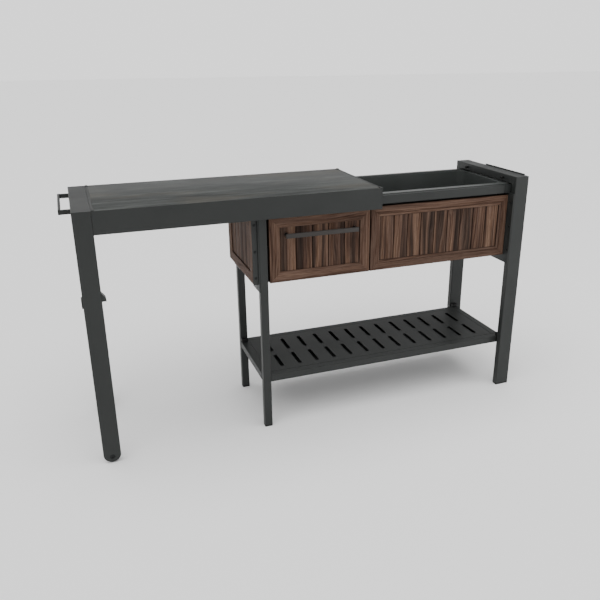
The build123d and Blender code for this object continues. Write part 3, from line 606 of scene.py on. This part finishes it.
def mitredFrame(name, turn, profile, seed):
    width, height, corner, across, inward = panelSpace(name, turn)
    border, back, gap = cladding["border"], cladding["thickness"], cladding["mitreGap"]
    outline = [(mm(t), mm(d)) for t, d in cladding[profile]] + [(border, back), (0, back)]
    shape = bmesh.new()
    grain = shape.verts.layers.float_vector.new("grain")
    tone, calm, edge = [shape.verts.layers.float.new(layer) for layer in ("tone", "calm", "across")]
    dice = random.Random(seed)
    for side in range(4):
        length = height if side % 2 else width
        shift = Vector([dice.uniform(-grainReach, grainReach) for _ in range(3)])
        boardTone = dice.uniform(*cladding["frameTone"])
        ends = []
        for end in (0, 1):
            ring = []
            for t, d in outline:
                u = length - t - gap if end else t + gap
                spot = [(u, t), (width - t, u), (width - u, height - t), (t, height - u)][side]
                vert = shape.verts.new(corner + across * spot[0] + Vector((0, 0, spot[1])) + inward * d)
                vert[grain] = Vector((u, t, d)) + shift
                vert[tone] = boardTone
                vert[calm] = cladding["calm"]
                # marks the frame faces set back behind its face, which get painted shade
                vert[edge] = 1.0 if d > cladding["shadeBelow"] else 0.0
                ring.append(vert)
            ends.append(ring)
        for i in range(len(outline)):
            j = (i + 1) % len(outline)
            shape.faces.new((ends[0][i], ends[0][j], ends[1][j], ends[1][i]))
        shape.faces.new(ends[0])
        shape.faces.new(list(reversed(ends[1])))
    bmesh.ops.recalc_face_normals(shape, faces=shape.faces)
    bmesh.ops.triangulate(shape, faces=[f for f in shape.faces if len(f.verts) > 4])
    return pieceFrom(name + "_mitred_frame", shape, walnut)


def plankCladding(name, turn, seed):
    width, height, corner, across, inward = panelSpace(name, turn)
    border = cladding["border"]
    inner = width - 2 * border
    count = max(1, round(inner / cladding["plankWidth"]))
    start = corner + across * border + Vector((0, 0, border)) + inward * cladding["plankSetBack"]
    return grow(name + "_plank_row", plankRow, {
        "Count": count, "Pitch": inner / count, "Height": height - 2 * border,
        "Thickness": cladding["plankThickness"], "Gap": cladding["plankGap"], "Edge": cladding["plankEdge"],
        "Seed": seed, "Corner": tuple(start), "Turn": math.radians(turn), "Material": walnut})


for name, turn, profile, body, seed in panels:
    finishPiece(mitredFrame(name, turn, profile, seed), body, "walnut_wood", name + "_frame")
    finishPiece(plankCladding(name, turn, seed), body, "walnut_wood", name + "_planks")
print("cladding done")


# Worktop board

topEdge = {"ease": mm(0.8), "segments": 2, "reach": mm(0.1)}


def makeBoard():
    low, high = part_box("top_panel")
    shape = bmesh.new()
    bmesh.ops.create_cube(shape, size=1)
    for vert in shape.verts:
        vert.co = Vector([low[i] if vert.co[i] < 0 else high[i] for i in range(3)])
    edges = [e for e in shape.edges if all(v.co.z > high.z - topEdge["reach"] for v in e.verts)]
    bmesh.ops.bevel(shape, geom=edges, offset=topEdge["ease"], segments=topEdge["segments"], profile=0.5,
                    affect="EDGES")
    board = pieceFrom("timber_print_board", shape, greyBoard)
    finishPiece(board, "worktop", "grey_board", "top_panel")


makeBoard()
print("board done")


# Screws and bolts

screwSize = {"head": mm(4.5), "height": mm(2.6), "recess": mm(1.6), "slot": mm(0.7), "depth": mm(1.3),
             "shank": mm(2.5), "length": mm(0.4), "arm": 0.966, "perEdge": 3, "seed": 3, "spin": 3.0}
boltSize = {"head": mm(9), "height": mm(2.5), "socket": mm(3.0), "depth": mm(1.5), "shank": mm(4),
            "seed": 7, "spin": 1.0}
# the dome of a head, as shares of its radius and height, and how much its recess narrows downwards
dome = {"profile": [(1, 0), (1, 0.3), (0.93, 0.62), (0.75, 0.86), (0.5, 0.97)], "taper": 0.85, "steps": 48}


def ringsOf(shape, stations, closed):
    # joins rings of points into a skin; closed makes it meet itself, else its ends are capped
    rings = [[shape.verts.new(point) for point in station] for station in stations]
    pairs = list(zip(rings, rings[1:])) + ([(rings[-1], rings[0])] if closed else [])
    for low, high in pairs:
        for i in range(len(low)):
            j = (i + 1) % len(low)
            shape.faces.new((low[i], low[j], high[j], high[i]))
    if not closed:
        shape.faces.new(rings[0])
        shape.faces.new(rings[-1])
    bmesh.ops.recalc_face_normals(shape, faces=shape.faces)


def crossOutline(angle):
    # four arms of a cross recess
    arm = max(abs(math.cos(angle)), abs(math.sin(angle))) > screwSize["arm"]
    return screwSize["recess"] if arm else screwSize["slot"]


def hexOutline(angle):
    return boltSize["socket"] / math.cos(angle % (math.pi / 3) - math.pi / 6)


def recessedHead(name, size, outline, length):
    # a domed head on z = 0 with a recess sunk into its crown, on a shank that goes down from it
    crown, floor = size["height"], size["height"] - size["depth"]
    stations = [[] for _ in range(len(dome["profile"]) + 4)]
    for i in range(dome["steps"]):
        angle = 2 * math.pi * i / dome["steps"]
        reaches = [(size["shank"], -length), (size["shank"], 0)]
        reaches += [(size["head"] * r, crown * h) for r, h in dome["profile"]]
        reaches += [(outline(angle), crown), (outline(angle) * dome["taper"], floor)]
        for station, (reach, height) in zip(stations, reaches):
            station.append((reach * math.cos(angle), reach * math.sin(angle), height))
    shape = bmesh.new()
    ringsOf(shape, stations, False)
    return pieceFrom(name, shape, darkSteel)


def fasten(name, node, body, size, outline, length, places):
    # one head is shaped, copied onto all its places, and then taken away
    pattern = recessedHead(name + "_pattern", size, outline, length)
    values = {"Part": pattern, "Seed": size["seed"], "Spin": size["spin"], "Material": darkSteel}
    finishPiece(grow(name, scatter, values, pointsMesh(name, places)), body, "dark_steel", node)
    bpy.data.objects.remove(pattern)


def screwPlaces():
    # a row on each edge trim of the side panel and one on each right-hand plate
    (trimLow, trimHigh), (plateLow, _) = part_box("side_panel_trims"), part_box("right_side_plates")
    (screwLow, screwHigh), (postLow, postHigh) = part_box("panel_screws"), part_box("right_front_post")
    low, high = screwLow.z + screwSize["head"], screwHigh.z - screwSize["head"]
    x, y = (trimLow.x + trimHigh.x) / 2, (postLow.y + postHigh.y) / 2
    places = []
    for i in range(screwSize["perEdge"]):
        z = low + (high - low) * i / (screwSize["perEdge"] - 1)
        for side in (-1, 1):
            edge = trimLow.y if side < 0 else trimHigh.y
            places.append(((x, edge, z), (0, side, 0)))
            places.append(((plateLow.x, y * -side, z), (-1, 0, 0)))
    return places


def axlePlaces():
    (low, high), (forkLow, forkHigh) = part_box("axle_bolts"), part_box("wheel_forks")
    x, z = (low.x + high.x) / 2, (low.z + high.z) / 2
    return [((x, forkLow.y, z), (0, -1, 0)), ((x, forkHigh.y, z), (0, 1, 0))]


def forkDepth():
    (low, high), (forkLow, _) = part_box("front_wheel"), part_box("wheel_forks")
    return high.y - forkLow.y + (low.y - forkLow.y)


fasten("cross_recess_screws", "panel_screws", "stand", screwSize, crossOutline, screwSize["length"],
       screwPlaces())
fasten("axle_socket_bolts", "axle_bolts", "worktop", boltSize, hexOutline, forkDepth(), axlePlaces())
print("fasteners done")


# Wheels and rollers

wheelShape = {  # closed outlines as (radius, distance from the middle) in mm
    "tyre": [(16.2, -7.6), (21.2, -8.4), (23.2, -7.6), (24, -5.6), (24, -2.9), (23.1, -2.3), (23.1, -1.7),
             (24, -1.1), (24, 1.1), (23.1, 1.7), (23.1, 2.3), (24, 2.9), (24, 5.6), (23.2, 7.6), (21.2, 8.4),
             (16.2, 7.6)],
    "hub": [(4.1, -8.5), (7.0, -8.5), (7.8, -7.8), (8.2, -3.0), (13.2, -3.0), (13.8, -7.2), (16.2, -7.6),
            (16.2, 7.6), (13.8, 7.2), (13.2, 3.0), (8.2, 3.0), (7.8, 7.8), (7.0, 8.5), (4.1, 8.5)],
    "steps": 64, "ribs": 6, "ribThickness": mm(1.6), "ribSpan": (mm(7.6), mm(13.8)), "ribReach": mm(6.4),
}
rollerShape = {  # in mm; the hub stands out from the bore and the tread in from the rim
    "bore": 2.55, "half": 6.0, "shoulder": 1.1, "recess": 0.8, "hub": (1.4, 1.8), "tread": (1.9, 1.5, 0.6)}


def spun(name, outline, middle, material, ribs=0):
    # turns a closed outline round an axle along Y; ribs adds spokes to its web
    steps = wheelShape["steps"]
    shape = bmesh.new()
    stations = []
    for i in range(steps):
        angle = 2 * math.pi * i / steps
        turnX, turnZ = math.cos(angle), math.sin(angle)
        stations.append([(middle.x + mm(r) * turnX, middle.y + mm(y), middle.z + mm(r) * turnZ)
                         for r, y in outline])
    ringsOf(shape, stations, True)
    inner, outer = wheelShape["ribSpan"]
    for i in range(ribs):
        angle = 2 * math.pi * i / ribs
        for vert in bmesh.ops.create_cube(shape, size=1)["verts"]:
            along = inner if vert.co.x < 0 else outer
            aside = vert.co.z * wheelShape["ribThickness"]
            vert.co = middle + Vector((along * math.cos(angle) - aside * math.sin(angle),
                                       vert.co.y * 2 * wheelShape["ribReach"],
                                       along * math.sin(angle) + aside * math.cos(angle)))
    return pieceFrom(name, shape, material)


def makeWheel(node):
    low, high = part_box(node)
    middle = (low + high) / 2
    finishPiece(spun(node + "_tyre", wheelShape["tyre"], middle, rubber), node, "rubber", node)
    hub = spun(node + "_hub", wheelShape["hub"], middle, blackPlastic, wheelShape["ribs"])
    finishPiece(hub, node, "black_plastic")


def makeRoller(node):
    low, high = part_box(node)
    radius = (high.z - low.z) / mm(2)
    bore, half, face = rollerShape["bore"], rollerShape["half"], rollerShape["half"] - rollerShape["recess"]
    (hubFace, hubFoot), (webEdge, rimFoot, rim) = rollerShape["hub"], rollerShape["tread"]
    outline = [(bore, -half), (bore + hubFace, -half), (bore + hubFoot, -face), (radius - webEdge, -face),
               (radius - rimFoot, -half), (radius - rim, -half), (radius, -half + rollerShape["shoulder"])]
    outline += [(r, -y) for r, y in reversed(outline)]
    finishPiece(spun(node + "_wheel", outline, (low + high) / 2, blackPlastic), node, "black_plastic", node)


for node in ("front_wheel", "rear_wheel"):
    makeWheel(node)
for node in ("front_roller", "rear_roller"):
    makeRoller(node)
print("wheels done")

makeCamera()
makeBackdrop()
makeLights()
makeFloor()
print("studio done")
